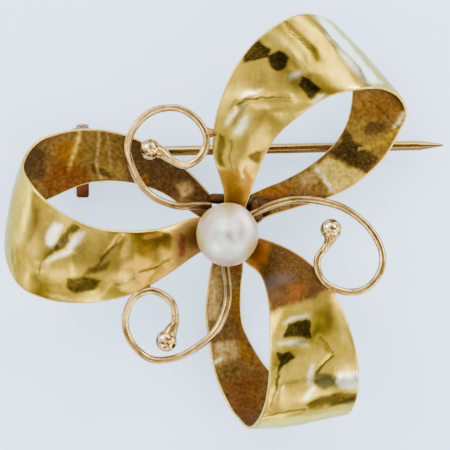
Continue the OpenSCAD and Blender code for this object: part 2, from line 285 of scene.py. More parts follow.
LEFT_FRONT = [
    (OLIVE, 0.75, 12, [(30, 214), (60, 236), (120, 250), (150, 258), (110, 276), (60, 264), (26, 240)]),
    (OLIVE, 0.5, 6, [(120, 286), (140, 272), (160, 272), (150, 290), (126, 296)]),
    (GOLD_DEEP, 0.75, 8, [(136, 236), (176, 230), (180, 262), (150, 290), (126, 292), (130, 262)]),
    (OLIVE, 0.7, 6, [(96, 232), (124, 234), (140, 250), (118, 272), (100, 262)]),
    (OLIVE, 0.35, 5, [(34, 205), (60, 212), (80, 226), (60, 226), (42, 240), (32, 232)]),
    (GOLD_PALE, 0.8, 4, 5, [(31, 200), (26, 220), (20, 240)]),
    (OLIVE, 0.5, 4, 4, [(38, 214), (34, 236), (30, 262)]),
    (GLINT, 1, 3.2, [(56, 224), (63, 226), (58, 238), (51, 246), (48, 243), (49, 233)]),
    (GLINT, 0.8, 2.6, [(79, 232), (86, 231), (78, 243), (70, 251), (70, 243)]),
    (GLINT, 0.6, 2.5, 3.5, [(46, 262), (56, 257), (68, 252)]),
    (GREY_DARK, 0.5, 3, [(72, 250), (90, 240), (84, 255), (70, 258)]),
    (DARK, 0.9, 1.3, [(74, 222), (82, 227), (77, 232), (70, 236), (71, 242), (67, 248), (58, 252),
                      (53, 246), (60, 239), (66, 232)]),
    (DARK, 0.7, 2.2, 0.6, [(55, 250), (47, 257), (42, 263), (40, 274)]),
    (DARK, 0.8, 1.6, 1.8, [(122, 236), (113, 247), (97, 265)]),
    (DARK, 0.8, 2.2, [(110, 261), (108, 270), (96, 275), (85, 275), (90, 268)]),
    (DARK, 0.9, 2.2, [(67, 278), (85, 275), (101, 281), (96, 290), (77, 294), (66, 287)]),
    (DARK, 0.8, 1.5, 1.8, [(169, 261), (155, 267), (141, 273)]),
    (GREY_DARK, 0.7, 2.5, 2, [(139, 275), (128, 282), (118, 285)]),
    (OLIVE, 0.55, 6, [(152, 234), (176, 232), (178, 258), (164, 268), (150, 254)]),
    (RED_BROWN, 0.75, 3.5, 3, [(147, 237), (160, 235)]),
    (BROWN, 0.9, 4.5, [(170, 230), (205, 212), (210, 245), (194, 258), (176, 266), (174, 240)]),
    (MAROON, 0.8, 1.8, [(179, 234), (186, 236), (186, 256), (179, 257)]),
    (BROWN, 0.85, 4, 3, [(190, 258), (170, 274), (146, 290)]),
    (GOLD_PALE, 0.8, 2, 3, [(112, 283), (104, 292), (98, 299)]),
    (MAROON, 0.5, 2, 2.5, [(12, 250), (14, 262), (17, 274)]),
    (GOLD_PALE, 0.7, 2, 2, [(48, 294), (74, 300), (100, 300)]),
    (OLIVE, 0.5, 4, 3, [(60, 285), (44, 284), (36, 276)]),
]
LEFT_BACK = [
    (OLIVE, 0.5, 6, [(44, 150), (62, 136), (120, 134), (128, 178), (90, 182), (70, 160)]),
    (AMBER, 0.7, 6, [(56, 146), (80, 138), (76, 170), (58, 174)]),
    (GOLD_PALE, 0.75, 2.5, 3, [(79, 133), (74, 150), (69, 168)]),
    (TAN, 0.85, 1.8, 1.6, [(98, 131), (98, 150), (96, 168), (100, 178)]),
    (TAN, 0.35, 2.5, 2, [(108, 134), (109, 160)]),
    (RED_BROWN, 0.65, 5, [(56, 162), (76, 164), (89, 170), (88, 182), (60, 192), (48, 198), (42, 176)]),
    (DARK, 0.8, 1.6, [(98, 168), (106, 170), (112, 177), (104, 177), (97, 173)]),
    (DARK, 0.7, 1.5, [(90, 161), (94, 163), (95, 174), (91, 172)]),
    (DEEP_BROWN, 0.9, 5, [(122, 130), (150, 140), (190, 168), (216, 204), (196, 206), (160, 194),
                          (126, 180)]),
    (TAN, 0.6, 4, [(176, 184), (188, 182), (193, 192), (182, 198)]),
    (MAROON, 0.5, 3, [(176, 204), (214, 200), (214, 210), (188, 212)]),
    (AMBER, 0.7, 1.6, 1.6, [(142, 176), (147, 174), (148, 180), (144, 181)]),
    (DEEP_BROWN, 0.7, 4, [(26, 160), (34, 148), (46, 150), (44, 180), (30, 176)]),
]
LOWER_FRONT = [
    (OLIVE, 0.45, 4, [(324, 300), (334, 304), (334, 330), (325, 330)]),
    (GOLD_PALE, 0.7, 5, 5, [(342, 322), (344, 338)]),
    (GOLD_PALE, 0.7, 2, 3, [(272, 330), (273, 348)]),
    (UMBER, 1, 6, [(236, 232), (284, 226), (308, 246), (326, 268), (332, 290), (314, 301),
                   (290, 306), (268, 315), (262, 282)]),
    (AMBER, 0.6, 4, [(250, 248), (268, 244), (266, 262), (252, 264)]),
    (RED_BROWN, 0.8, 3, 3, [(246, 262), (260, 268)]),
    (BLUISH, 0.75, 4, [(262, 280), (276, 273), (294, 274), (290, 281), (276, 288), (264, 292)]),
    (DEEP_BROWN, 0.6, 3, [(266, 290), (280, 290), (286, 296), (270, 300)]),
    (RED_BROWN, 0.4, 6, [(292, 284), (306, 284), (302, 296), (292, 304), (286, 298)]),
    (OLIVE, 0.4, 4, 4, [(318, 270), (330, 290), (316, 302)]),
    (GLINT, 0.8, 2.2, 3, [(283, 322), (294, 317), (309, 315)]),
    (DARK, 0.95, 0.7, [(287, 322), (309, 319), (311, 338), (283, 336)]),
    (GLINT, 0.6, 3, 3, [(276, 342), (308, 342)]),
    (DARK, 0.95, 1, [(276, 352), (288, 350), (296, 356), (285, 362), (281, 367), (278, 360)]),
    (DARK, 0.85, 2.6, 0.8, [(280, 364), (277, 376), (275, 392), (271, 405)]),
    (GREY_DARK, 0.6, 2, 2, [(281, 384), (278, 398)]),
    (DARK, 0.7, 0.7, 0.8, [(319, 337), (326, 342), (331, 349), (333, 354)]),
    (DARK, 0.9, 1.2, 1.8, [(333, 354), (320, 365), (315, 372)]),
    (GLINT, 0.85, 3, 4, [(312, 362), (309, 372), (310, 382)]),
    (GLINT, 0.7, 3, 4, [(314, 385), (304, 400)]),
    (GREY_DARK, 0.95, 1.4, [(315, 371), (336, 373), (334, 383), (325, 388), (313, 383)]),
    (GLINT, 1, 3, [(338, 372), (356, 372), (356, 386), (340, 387), (335, 380)]),
    (DARK, 0.85, 2, [(357, 391), (358, 402), (332, 405), (309, 408), (306, 404), (320, 394)]),
    (DARK, 0.75, 1, 1.5, [(262, 416), (284, 411), (306, 408)]),
    (GREY_DARK, 0.5, 2, 2, [(268, 372), (266, 396), (262, 412)]),
    (GOLD_PALE, 0.6, 2, [(262, 420), (330, 412), (350, 410), (300, 422), (258, 428)]),
]
LOWER_BACK = [
    (TAN, 0.5, 5, [(208, 262), (222, 262), (222, 310), (208, 330)]),
    (DEEP_BROWN, 0.7, 2.5, 2.5, [(226, 268), (224, 290), (222, 320)]),
    (AMBER, 0.45, 4, [(232, 290), (240, 290), (246, 350), (262, 366), (240, 362), (230, 330)]),
    (BROWN, 0.7, 4, [(206, 320), (236, 320), (244, 340), (212, 346)]),
    (TAN, 0.7, 4, [(216, 344), (236, 342), (240, 358), (220, 366)]),
    (GLINT, 0.6, 2, 2.5, [(214, 364), (222, 358)]),
    (RED_BROWN, 0.6, 5, [(224, 384), (262, 372), (264, 400), (252, 428), (240, 420)]),
    (RED_BROWN, 0.6, 3, [(226, 262), (242, 264), (240, 276), (228, 274)]),
]

# Creases of the sheet: line, depth in mm (negative stands out), width in tenths of a mm.
UPPER_CREASES = [
    ([(283, 22), (290, 32), (301, 43), (311, 55), (313, 62)], 0.05, 3),
    ([(239, 106), (249, 100), (262, 98), (290, 99)], 0.07, 4),
    ([(268, 30), (284, 46), (306, 72)], -0.05, 5),
]
LEFT_CREASES = [
    ([(122, 236), (113, 247), (97, 265)], 0.07, 4),
    ([(82, 226), (60, 248), (42, 263)], 0.06, 5),
    ([(169, 261), (141, 273)], 0.04, 3),
]
LOWER_CREASES = [
    ([(319, 337), (326, 342), (333, 354), (320, 365), (315, 372)], 0.06, 4),
    ([(280, 364), (277, 376), (271, 405)], 0.06, 4),
    ([(283, 342), (309, 342)], -0.05, 5),
]

EDGE_WANDER = 3.5
WANDER_SIZE = 1.1
GRAIN_SIZE = 0.16


def seen_from_front(points):
    """Where points in mm lie in the front view, in tenths of a mm."""
    return np.stack([points[:, 0] * VIEW_SCALE + VIEW_ORIGIN[0],
                     VIEW_ORIGIN[1] - points[:, 1] * VIEW_SCALE], axis=1)


def paint(points, marks, base, seed):
    """The colour and dullness of each point of a sheet face from its marks, tarnish and painted light alike,
    whose edges wander a little.
    """
    wander = np.stack([clouds(points, WANDER_SIZE, seed + i, 2) for i in range(2)], axis=1)
    seen = seen_from_front(points) + (wander - 0.5) * EDGE_WANDER
    colours = base.copy()
    grain = clouds(points, GRAIN_SIZE, seed + 2, 2)
    dull = np.zeros(len(points))
    for colour, strength, *widths, corners in marks:
        if len(widths) == 1:
            soft = widths[0]
            mask = 1 - smoothstep(-soft, soft, in_patch(seen, corners))
        else:
            start, end = widths
            gap, share = near_line(seen, corners)
            width = start + (end - start) * share
            mask = 1 - smoothstep(width * 0.5, width * 1.15, gap)
            # A glint is a painted highlight: a pale gold glow round a white core that thins towards the
            # streak's ends.
            if colour is GLINT:
                taper = np.clip(4 * share * (1 - share), 0, 1) ** 0.4
                colours = blend_in(colours, np.exp(-(gap / (width * 1.1)) ** 2) * strength * 0.7, GOLD_PALE)
                mask = np.exp(-(gap / (width * 0.6)) ** 2) * taper
            elif colour is not DARK and colour is not GREY_DARK:
                mask = np.exp(-(gap / (width * 0.8)) ** 2)
        if colour is not GLINT and colour is not GOLD_PALE:
            mask = mask * (0.82 + 0.36 * grain)
        mask = np.clip(mask * strength, 0, 1)
        colours = blend_in(colours, mask, colour)
        dull = dull * (1 - mask) + mask * any(colour is tarnish for tarnish in TARNISH)
    return colours, dull


# Meshes.


def between(rows, steps):
    """The smooth curve through rows of numbers, the same as in the CAD source."""
    rows = np.array(rows, float)
    last = len(rows) - 1
    out = []
    for i in range(last):
        a, b, c, d = rows[max(i - 1, 0)], rows[i], rows[i + 1], rows[min(i + 2, last)]
        for s in range(steps):
            t = s / steps
            out.append(0.5 * (2 * b + (c - a) * t + (2 * a - 5 * b + 4 * c - d) * t * t
                              + (3 * b - a - 3 * c + d) * t ** 3))
    out.append(rows[last])
    return np.array(out)


def unit(v):
    return v / np.maximum(np.linalg.norm(v, axis=-1, keepdims=True), 1e-12)


def make(name, points, faces, colours, materials, body="brooch", node="bow", kinds=None, dull=0.0,
         smooth=True):
    """A piece from points in mm, with its colour and its dullness held point by point."""
    mesh = bpy.data.meshes.new(name)
    mesh.from_pydata([tuple(p) for p in points * MM], [], faces)
    mesh.update()
    tint = mesh.color_attributes.new("tint", "FLOAT_COLOR", "POINT")
    flat = np.ones((len(points), 4))
    flat[:, :3] = np.clip(colours, 0, 1)
    flat[:, 3] = dull
    tint.data.foreach_set("color", flat.ravel())
    for material in materials:
        mesh.materials.append(material)
    if kinds is not None:
        mesh.polygons.foreach_set("material_index", kinds)
    mesh.polygons.foreach_set("use_smooth", [smooth] * len(mesh.polygons))
    piece = new_object(name, mesh)
    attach(piece, body)
    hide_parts(node)
    return piece


def new_object(name, data):
    thing = bpy.data.objects.new(name, data)
    bpy.context.scene.collection.objects.link(thing)
    return thing


def ring_faces(rings, n):
    """Faces round rings of n points, closed at both ends."""
    faces = []
    for i in range(rings - 1):
        for j in range(n):
            k = (j + 1) % n
            faces.append((i * n + j, (i + 1) * n + j, (i + 1) * n + k, i * n + k))
    faces.append(tuple(range(n)))
    faces.append(tuple((rings - 1) * n + j for j in reversed(range(n))))
    return faces


def directions(path):
    """The way ahead at each point of a path, from its neighbours."""
    ahead = np.empty_like(path)
    ahead[1:-1] = path[2:] - path[:-2]
    ahead[0], ahead[-1] = path[1] - path[0], path[-1] - path[-2]
    return ahead


# Steps between two rows of a ribbon's table, cells across the sheet, and steps round its rim.
SHEET_STEPS = 24
SHEET_CELLS = 56
RIM_STEPS = 6
OUTER_FACE, INNER_FACE, RIM = range(3)
# The sheet has slow waves and small dents, by size and depth in mm. They fade near its soldered ends.
WAVE_SIZE = 3.2
WAVE_DEPTH = 0.3
DENT_SIZE = 1.3
DENT_DEPTH = 0.06
FADE_ROWS = 1.5
# The ribbons darken to brown and dull round the pearl: fully within the first radius of the pearl's axis and
# not at all beyond the second, in mm.
PEARL_DARKENING_FULL = 2.8
PEARL_DARKENING_END = 5.0


def dents(points, seed):
    """How far the hand-bent sheet stands in or out at each point, in mm."""
    slow = clouds(points, WAVE_SIZE, seed, 1) - 0.5
    quick = clouds(points, DENT_SIZE, seed + 3, 1) - 0.5
    return WAVE_DEPTH * slow + DENT_DEPTH * quick


def crease(seen, line, depth, width):
    gap, _ = near_line(seen, line)
    return -depth * np.exp(-(gap / width) ** 2)


def sheet_rim(edge, out, side):
    """The rounded rim beside an edge of the sheet: half a turn that starts where out points."""
    turns = [math.pi * k / RIM_STEPS for k in range(1, RIM_STEPS)]
    rounded = [edge + out * SHEET_T / 2 * math.cos(a) + side * SHEET_T / 2 * math.sin(a) for a in turns]
    return np.stack(rounded, axis=1)


def sheet_rings(table, creases, seed):
    """Rings of points round a bent sheet, and for each ring whether its outer face looks up."""
    rows = between(table, SHEET_STEPS)
    near, far = rows[:, :3], rows[:, 3:]
    count = len(rows)
    inset = (SHEET_T / 2 / np.linalg.norm(far - near, axis=1))[:, None]
    across = inset + (1 - 2 * inset) * np.linspace(0, 1, SHEET_CELLS + 1)[None, :]
    middle = near[:, None, :] * (1 - across[..., None]) + far[:, None, :] * across[..., None]
    side = unit(far - near)[:, None, :] * np.ones_like(middle)
    out = unit(np.cross(directions(middle), side))
    flat = middle.reshape(-1, 3)
    bulge = dents(flat, seed)
    seen = seen_from_front(flat)
    looks_up = out.reshape(-1, 3)[:, 2] > 0
    for line, depth, width in creases:
        bulge += np.where(looks_up, crease(seen, line, depth, width), 0)
    fade = (4 * across * (1 - across)) ** 0.5
    to_end = np.minimum(np.arange(count), count - 1 - np.arange(count))
    ends = np.clip(to_end / (FADE_ROWS * SHEET_STEPS), 0, 1)[:, None]
    lift = SHEET_CROWN * 4 * across * (1 - across) + bulge.reshape(across.shape) * fade * ends
    middle = middle + out * lift[..., None]
    outer = middle + out * SHEET_T / 2
    inner = middle - out * SHEET_T / 2
    far_rim = sheet_rim(middle[:, -1], out[:, -1], side[:, -1])
    near_rim = sheet_rim(middle[:, 0], -out[:, 0], -side[:, 0])
    rings = np.concatenate([outer, far_rim, inner[:, ::-1], near_rim], axis=1)
    return rings, out[:, SHEET_CELLS // 2, 2] > 0


def sheet_tones(points, is_outer, is_inner, outer_up, front, back, seed):
    """Colour and dullness of a ribbon: plain tones first, then marks on the faces seen from the front."""
    slow = clouds(points, 2.4, seed + 11, 3)[:, None]
    quick = clouds(points, 0.5, seed + 12, 3)[:, None]
    outside = GOLD * (1 - slow) + (0.55 * GOLD + 0.45 * GOLD_PALE) * slow
    outside = outside * (0.9 + 0.2 * quick)
    inside = BROWN * (1 - slow) + (0.55 * OLIVE + 0.45 * BROWN) * slow
    inside = inside * (0.6 + 0.8 * quick)
    # The rims keep a paler rose gold: a painted highlight along the rolled edge.
    colours = (0.5 * GOLD_PALE + 0.5 * ROSE) * (0.85 + 0.3 * quick)
    # The back band's outer face and the front band's inner face only show from behind. The back band's outer
    # face, which faces down, takes a darker, browner copy of the gold as painted shade.
    shaded = outside * 0.85 * (1 - 0.45 * (1 - slow)) + 0.12 * BROWN
    colours[is_outer] = shaded[is_outer]
    colours[is_inner] = inside[is_inner]
    dull = np.zeros(len(points))
    picked = is_outer & outer_up
    colours[picked], dull[picked] = paint(points[picked], front, outside[picked], seed + 20)
    picked = is_inner & ~outer_up
    colours[picked], dull[picked] = paint(points[picked], back, inside[picked], seed + 30)
    # Darker, browner and duller round the pearl.
    reach = np.linalg.norm(points[:, :2] - np.array(PEARL_AT[:2]), axis=1)
    near_pearl = (1 - smoothstep(PEARL_DARKENING_FULL, PEARL_DARKENING_END, reach)) * 0.7
    near_pearl = near_pearl * (0.6 + 0.6 * quick[:, 0]).clip(0, 1)
    colours = blend_in(colours, near_pearl, 0.5 * DEEP_BROWN + 0.5 * RED_BROWN)
    return colours, np.maximum(dull, near_pearl)


def ribbon(name, table, creases, front, back, seed, materials):
    """One ribbon loop: its front band shows the outer face, its back band the inner one."""
    rings, outer_up = sheet_rings(table, creases, seed)
    count, n = rings.shape[:2]
    points = rings.reshape(-1, 3)
    column = np.tile(np.arange(n), count)
    is_outer = column <= SHEET_CELLS
    is_inner = (column >= SHEET_CELLS + RIM_STEPS) & (column <= 2 * SHEET_CELLS + RIM_STEPS)
    colours, dull = sheet_tones(points, is_outer, is_inner, np.repeat(outer_up, n), front, back, seed)
    faces = [tuple(reversed(face)) for face in ring_faces(count, n)]
    once_round = ([OUTER_FACE] * SHEET_CELLS + [RIM] * RIM_STEPS
                  + [INNER_FACE] * SHEET_CELLS + [RIM] * RIM_STEPS)
    kinds = once_round * (count - 1) + [RIM, RIM]
    return make(name, points, faces, colours, materials, kinds=kinds, dull=dull)


WIRE_SIDES = 24
WIRE_STEPS = 12
# The wire stops this many steps before the middle of its ball.
WIRE_STOP = 4
# The groove, darkened with painted shade, and a painted highlight of shine run along the wire's upper side,
# at these angles round it.
GROOVE_DEPTH = 0.05
GROOVE_AT = 1.45
SHINE_AT = 2.1
# The neck runs between these steps before the ball's middle. Its radii are shares of the wire's and ball's.
NECK_STEPS = 8
NECK_FROM = 20
NECK_TO = 2
NECK_START = 1.01
NECK_SWELL = 0.76
# The balls are drawn a little larger than in the CAD source.
BALL_SWELL = 1.08
# The way from a ball's middle to its painted glint.
BALL_GLINT_AT = np.array([-0.35, 0.3, 0.9])


def stripe(angles, at, width):
    """A soft stripe along a wire: 1 at one angle round it, and less to both sides."""
    return np.exp(-(np.arctan2(np.sin(angles - at), np.cos(angles - at)) / width) ** 2)


def tube(path, radius, sides=WIRE_SIDES, groove=0.0):
    """Rings of points round a path, and the angles of a ring's points."""
    ahead = unit(directions(path))
    aside = unit(np.cross(np.array([0, 0, 1.0]), ahead))
    above = np.cross(ahead, aside)
    angles = 2 * math.pi * np.arange(sides) / sides
    depth = groove * stripe(angles, GROOVE_AT, 0.22)
    radius = np.asarray(radius).reshape(-1, 1) - depth[None, :]
    spokes = (np.cos(angles)[None, :, None] * aside[:, None, :]
              + np.sin(angles)[None, :, None] * above[:, None, :])
    rings = path[:, None, :] + radius[..., None] * spokes
    return rings.reshape(-1, 3), angles


def sphere(centre, radius, across=40, down=24, lumps=0.0, seed=0):
    """A ball, with lumps as a share of its radius."""
    points = []
    for i in range(1, down):
        a = math.pi * i / down
        for j in range(across):
            b = 2 * math.pi * j / across
            points.append((math.sin(a) * math.cos(b), math.sin(a) * math.sin(b), math.cos(a)))
    points += [(0, 0, 1), (0, 0, -1)]
    points = np.array(points)
    swell = 1 + lumps * (clouds(points * 0.9, 0.8, seed, 2) - 0.5)
    top, bottom = len(points) - 2, len(points) - 1
    # The flat ends of the rings are left out, because the ball closes at its poles.
    faces = ring_faces(down - 1, across)[:-2]
    for j in range(across):
        k = (j + 1) % across
        faces.append((top, j, k))
        faces.append((bottom, (down - 2) * across + k, (down - 2) * across + j))
    return np.array(centre) + points * radius * swell[:, None], faces


def join(parts):
    """Several sets of points, faces and colours as one."""
    points, faces, colours, start = [], [], [], 0
    for p, f, c in parts:
        points.append(p)
        colours.append(c)
        faces += [tuple(i + start for i in face) for face in f]
        start += len(p)
    return np.concatenate(points), faces, np.concatenate(colours)


def rose_tones(points, seed):
    quick = clouds(points, 0.45, seed, 3)[:, None]
    slow = clouds(points, 2.0, seed + 1, 2)[:, None]
    return (ROSE * (1 - slow) + (0.6 * ROSE + 0.4 * ROSE_PALE) * slow) * (0.82 + 0.36 * quick)


def scroll_wire(table, seed):
    """The wire, with its groove darkened by painted shade, a painted highlight of shine, painted shade below
    and brown near the centre.
    """
    path = between(table, WIRE_STEPS)[:-WIRE_STOP]
    points, angles = tube(path, np.full(len(path), WIRE_D / 2), groove=GROOVE_DEPTH)
    lines = np.tile(angles, len(path))
    along = np.repeat(np.linspace(0, 1, len(path)), WIRE_SIDES)
    colours = rose_tones(points, seed)
    under = smoothstep(0.1, -0.5, np.sin(lines))
    patches = clouds(points, 1.6, seed + 5, 2)
    near_centre = (1 - smoothstep(0.04, 0.3, along)) * (0.55 + 0.5 * patches)
    # A painted highlight along the shine, and painted shade in the groove and below.
    colours = blend_in(colours, stripe(lines, SHINE_AT, 0.25) * 0.55, ROSE_PALE)
    colours = blend_in(colours, stripe(lines, GROOVE_AT, 0.2) * (0.35 + 0.6 * patches).clip(0, 1), ROSE_DARK)
    colours = blend_in(colours, under * 0.5, ROSE_DARK)
    colours = blend_in(colours, near_centre, 0.5 * ROSE_DARK + 0.5 * UMBER)
    colours = blend_in(colours, (patches > 0.58) * 0.3, ROSE_DARK)
    return points, ring_faces(len(path), WIRE_SIDES), colours


def scroll_neck(table, seed):
    """The swelling where the wire runs into its ball."""
    path = between(table, NECK_STEPS)[-NECK_FROM:-NECK_TO]
    swell = smoothstep(0.1, 0.95, np.linspace(0, 1, len(path)))
    radius = WIRE_D / 2 * NECK_START + (NECK_SWELL * BALL_D / 2 - WIRE_D / 2) * swell
    points, _ = tube(path, radius)
    return points, ring_faces(len(path), WIRE_SIDES), rose_tones(points, seed + 2) * 0.8


def scroll_ball(centre, seed):
    """The ball, with painted dark reflections and painted highlights in spots, painted shade on its
    underside and a painted glint.
    """
    points, faces = sphere(centre, BALL_D / 2 * BALL_SWELL, lumps=0.06, seed=seed)
    spots = clouds(points, 0.5, seed + 8, 2)
    tones = rose_tones(points, seed + 3)
    # Painted dark reflections and painted highlights in spots, then painted shade on the underside.
    tones = blend_in(tones, smoothstep(0.56, 0.66, spots) * 0.85, ROSE_DARK)
    tones = blend_in(tones, smoothstep(0.44, 0.34, spots) * 0.6, ROSE_PALE)
    off = unit(points - centre)
    tones = blend_in(tones, smoothstep(0.5, 0.2, off[:, 2]) * 0.6, ROSE_DARK)
    glint = np.exp(-(np.linalg.norm(off - unit(BALL_GLINT_AT), axis=1) / 0.28) ** 2)
    return points, faces, blend_in(tones, glint * 0.8, rgb(255, 236, 200))


def scroll(name, table, seed, material):
    parts = [scroll_wire(table, seed), scroll_neck(table, seed), scroll_ball(np.array(table[-1]), seed)]
    points, faces, colours = join(parts)
    return make(name, points, faces, colours, [material])


def lathe(centre, profile, sides=64):
    """A turned solid from (radius, height) pairs that start and end beside the axis."""
    points = []
    for r, z in profile:
        for j in range(sides):
            a = 2 * math.pi * j / sides
            points.append((centre[0] + r * math.cos(a), centre[1] + r * math.sin(a), z))
    faces = [tuple(reversed(f)) for f in ring_faces(len(profile), sides)]
    return np.array(points), faces


def brown_tones(points, seed, colour=BROWN, other=RED_BROWN):
    slow = clouds(points, 1.2, seed, 3)[:, None]
    quick = clouds(points, 0.3, seed + 1, 2)[:, None]
    return (colour * (1 - slow) + other * slow) * (0.7 + 0.6 * quick)


# The plate's rounded edge and the fillet at its seat, each with the point that it bends through.
PLATE_EDGE = 0.12
PLATE_BEND = (0.03, 0.04)
SEAT_FILLET = 0.12
SEAT_BEND = (0.02, 0.06)
AXIS_R = 0.01


def centre_plate(material):
    top, low = PLATE_TOP, PLATE_TOP - PLATE_T
    bend_in, bend_up = PLATE_BEND
    profile = [
        (AXIS_R, low), (PLATE_R - PLATE_EDGE, low), (PLATE_R - bend_in, low + bend_up),
        (PLATE_R, low + PLATE_EDGE), (PLATE_R, top - PLATE_EDGE), (PLATE_R - bend_in, top - bend_up),
        (PLATE_R - PLATE_EDGE, top), (SEAT_R + SEAT_FILLET, top),
        (SEAT_R + SEAT_BEND[0], top + SEAT_BEND[1]), (SEAT_R, top + SEAT_T), (AXIS_R, top + SEAT_T),
    ]
    points, faces = lathe(PEARL_AT, profile)
    return make("centre_plate", points, faces, brown_tones(points, 41), [material])


CAPSULE_SIDES = 20
CAPSULE_ROUNDS = 6
CAPSULE_TIP_R = 0.002
SOLDER_LUMPS = 0.1


def capsule(start, end, d, seed):
    """A short rod of solder with round ends and a lumpy skin."""
    start, end = np.array(start, float), np.array(end, float)
    run = np.linalg.norm(end - start)
    rounds = [math.pi / 2 * k / CAPSULE_ROUNDS for k in range(CAPSULE_ROUNDS + 1)]
    offsets = [-d / 2 * math.cos(a) for a in rounds] + [run + d / 2 * math.sin(a) for a in rounds]
    radii = [d / 2 * math.sin(a) + CAPSULE_TIP_R for a in rounds]
    radii += [d / 2 * math.cos(a) + CAPSULE_TIP_R for a in rounds]
    path = start + unit(end - start) * np.array(offsets)[:, None]
    points, _ = tube(path, radii, sides=CAPSULE_SIDES)
    middle = points.mean(axis=0)
    points = middle + (points - middle) * (1 + SOLDER_LUMPS * (clouds(points, 0.4, seed, 2) - 0.5))[:, None]
    return points, ring_faces(len(path), CAPSULE_SIDES)


def solder_piece(name, joints, seed, material, colour, other):
    parts = []
    for i, (start, end, d) in enumerate(joints):
        points, faces = capsule(start, end, d, seed + i)
        parts.append((points, faces, brown_tones(points, seed + 20 + i, colour, other)))
    points, faces, colours = join(parts)
    return make(name, points, faces, colours, [material])


# Solder as start, end and thickness in mm: drops on the scrolls, then lumps beside the pearl.
SOLDER_DROPS = [
    ((-1.6, 8.8, 8.8), (-0.9, 8.9, 8.9), 0.7),
    ((-1.6, 9.1, 8.75), (-0.85, 8.75, 8.85), 0.6),
    ((-1.65, 8.5, 8.75), (-0.85, 8.8, 8.85), 0.55),
    ((-8.2, -7.1, 9.0), (-7.6, -6.6, 8.8), 0.7),
    ((10.9, -6.8, 9.4), (10.7, -6.9, 9.4), 0.9),
]
ROOT_LUMPS = [
    ((-1.0, 2.3, 5.6), (0.3, 2.25, 5.6), 1.1),
    ((3.1, 1.8, 5.7), (3.3, 0.5, 5.7), 1.3),
    ((3.2, 2.1, 5.7), (4.2, 1.5, 5.9), 1.1),
]


def root_joints():
    """Solder from the middle of each ribbon end to the pearl's axis, then the lumps."""
    joints = []
    for table in (LEFT_LOOP, UPPER_LOOP, LOWER_LOOP):
        for row in (table[0], table[-1]):
            middle = [(a + b) / 2 for a, b in zip(row[:3], row[3:])]
            joints.append((middle, (PEARL_AT[0], PEARL_AT[1], row[2]), ROOT_SOLDER_D))
    return joints + ROOT_LUMPS


ARC_STEPS = 24
LENGTH_STEPS = 8
JAW_POINTS = 4
# How far the jaws' outer and inner corners are cut back, and the post that joins the hook to the bow.
OUTER_CUT = 0.1
INNER_CUT = 0.08
POST_LOW = 0.9
POST_HALF = 0.6
POST_FACES = [(0, 3, 2, 1), (4, 5, 6, 7), (0, 1, 5, 4), (1, 2, 6, 5), (2, 3, 7, 6), (3, 0, 4, 7)]


def jaw_end(outer, inner, side):
    """The points at the end of the jaw on one side (1 or -1), from its outer to its inner face."""
    low = -CATCH_JAW
    return [(side * outer, low + OUTER_CUT), (side * (outer - OUTER_CUT), low),
            (side * (inner + INNER_CUT), low), (side * inner, low + INNER_CUT)]


def hook_outline():
    """The hook's cross-section: outer arc, end of one jaw, inner arc, end of the other jaw."""
    outer, inner = CATCH_INNER_R + CATCH_WALL, CATCH_INNER_R
    turns = [math.pi * k / ARC_STEPS for k in range(ARC_STEPS + 1)]
    outline = [(outer * math.cos(a), outer * math.sin(a)) for a in turns]
    outline += jaw_end(outer, inner, -1)
    outline += [(inner * math.cos(math.pi - a), inner * math.sin(math.pi - a)) for a in turns]
    outline += reversed(jaw_end(outer, inner, 1))
    return outline


def hook_faces(n):
    """Faces along a hook whose outline has n points, then its two end faces."""
    faces = []
    for i in range(LENGTH_STEPS):
        for j in range(n):
            k = (j + 1) % n
            faces.append((i * n + j, i * n + k, (i + 1) * n + k, (i + 1) * n + j))
    # The end faces are strips between the outer and the inner arc, with one face for each jaw.
    last_inner = n - 1 - JAW_POINTS
    first_inner = last_inner - ARC_STEPS
    caps = [(j, last_inner - j, last_inner - 1 - j, j + 1) for j in range(ARC_STEPS)]
    caps.append((ARC_STEPS, *range(first_inner, ARC_STEPS, -1)))
    caps.append((0, *range(n - 1, last_inner - 1, -1)))
    return faces + caps + [tuple(LENGTH_STEPS * n + j for j in reversed(cap)) for cap in caps]


def beside_pin(x, y, z):
    """A place given along the pin and across it, turned to the hinge's lean and moved into the frame."""
    return (x + HINGE_AT[0],
            y * math.cos(HINGE_LEAN) - z * math.sin(HINGE_LEAN) + HINGE_AT[1],
            y * math.sin(HINGE_LEAN) + z * math.cos(HINGE_LEAN) + HINGE_AT[2])


def catch_hook(material):
    """The hook that holds the pin: an arc with two straight jaws, and the post that carries it."""
    outline = hook_outline()
    start = CATCH_AT - CATCH_LEN / 2
    end = start + CATCH_LEN
    shift = CATCH_AT * math.tan(STEM_YAW)
    places = np.linspace(start, end, LENGTH_STEPS + 1)
    hook = [beside_pin(x, shift + y, z) for x in places for y, z in outline]
    corners = [(start, shift - POST_HALF), (end, shift - POST_HALF),
               (end, shift + POST_HALF), (start, shift + POST_HALF)]
    post = [beside_pin(x, y, z) for z in (POST_LOW, CATCH_POST) for x, y in corners]
    hook, post = np.array(hook), np.array(post)
    points, faces, colours = join([
        (hook, hook_faces(len(outline)), brown_tones(hook, 61, GOLD_DEEP, ROSE)),
        (post, POST_FACES, brown_tones(post, 62, GOLD_DEEP, BROWN)),
    ])
    return make("catch_hook", points, faces, colours, [material], smooth=False)


# Materials.


def new_material(name):
    material = bpy.data.materials.new(name)
    material.use_nodes = True
    return material, material.node_tree, material.node_tree.nodes["Principled BSDF"]


def feed(tree, node, inputs):
    """Gives inputs of a node another node's output each, or a plain value."""
    for name, value in inputs.items():
        if isinstance(value, bpy.types.NodeSocket):
            tree.links.new(value, node.inputs[name])
        else:
            node.inputs[name].default_value = value


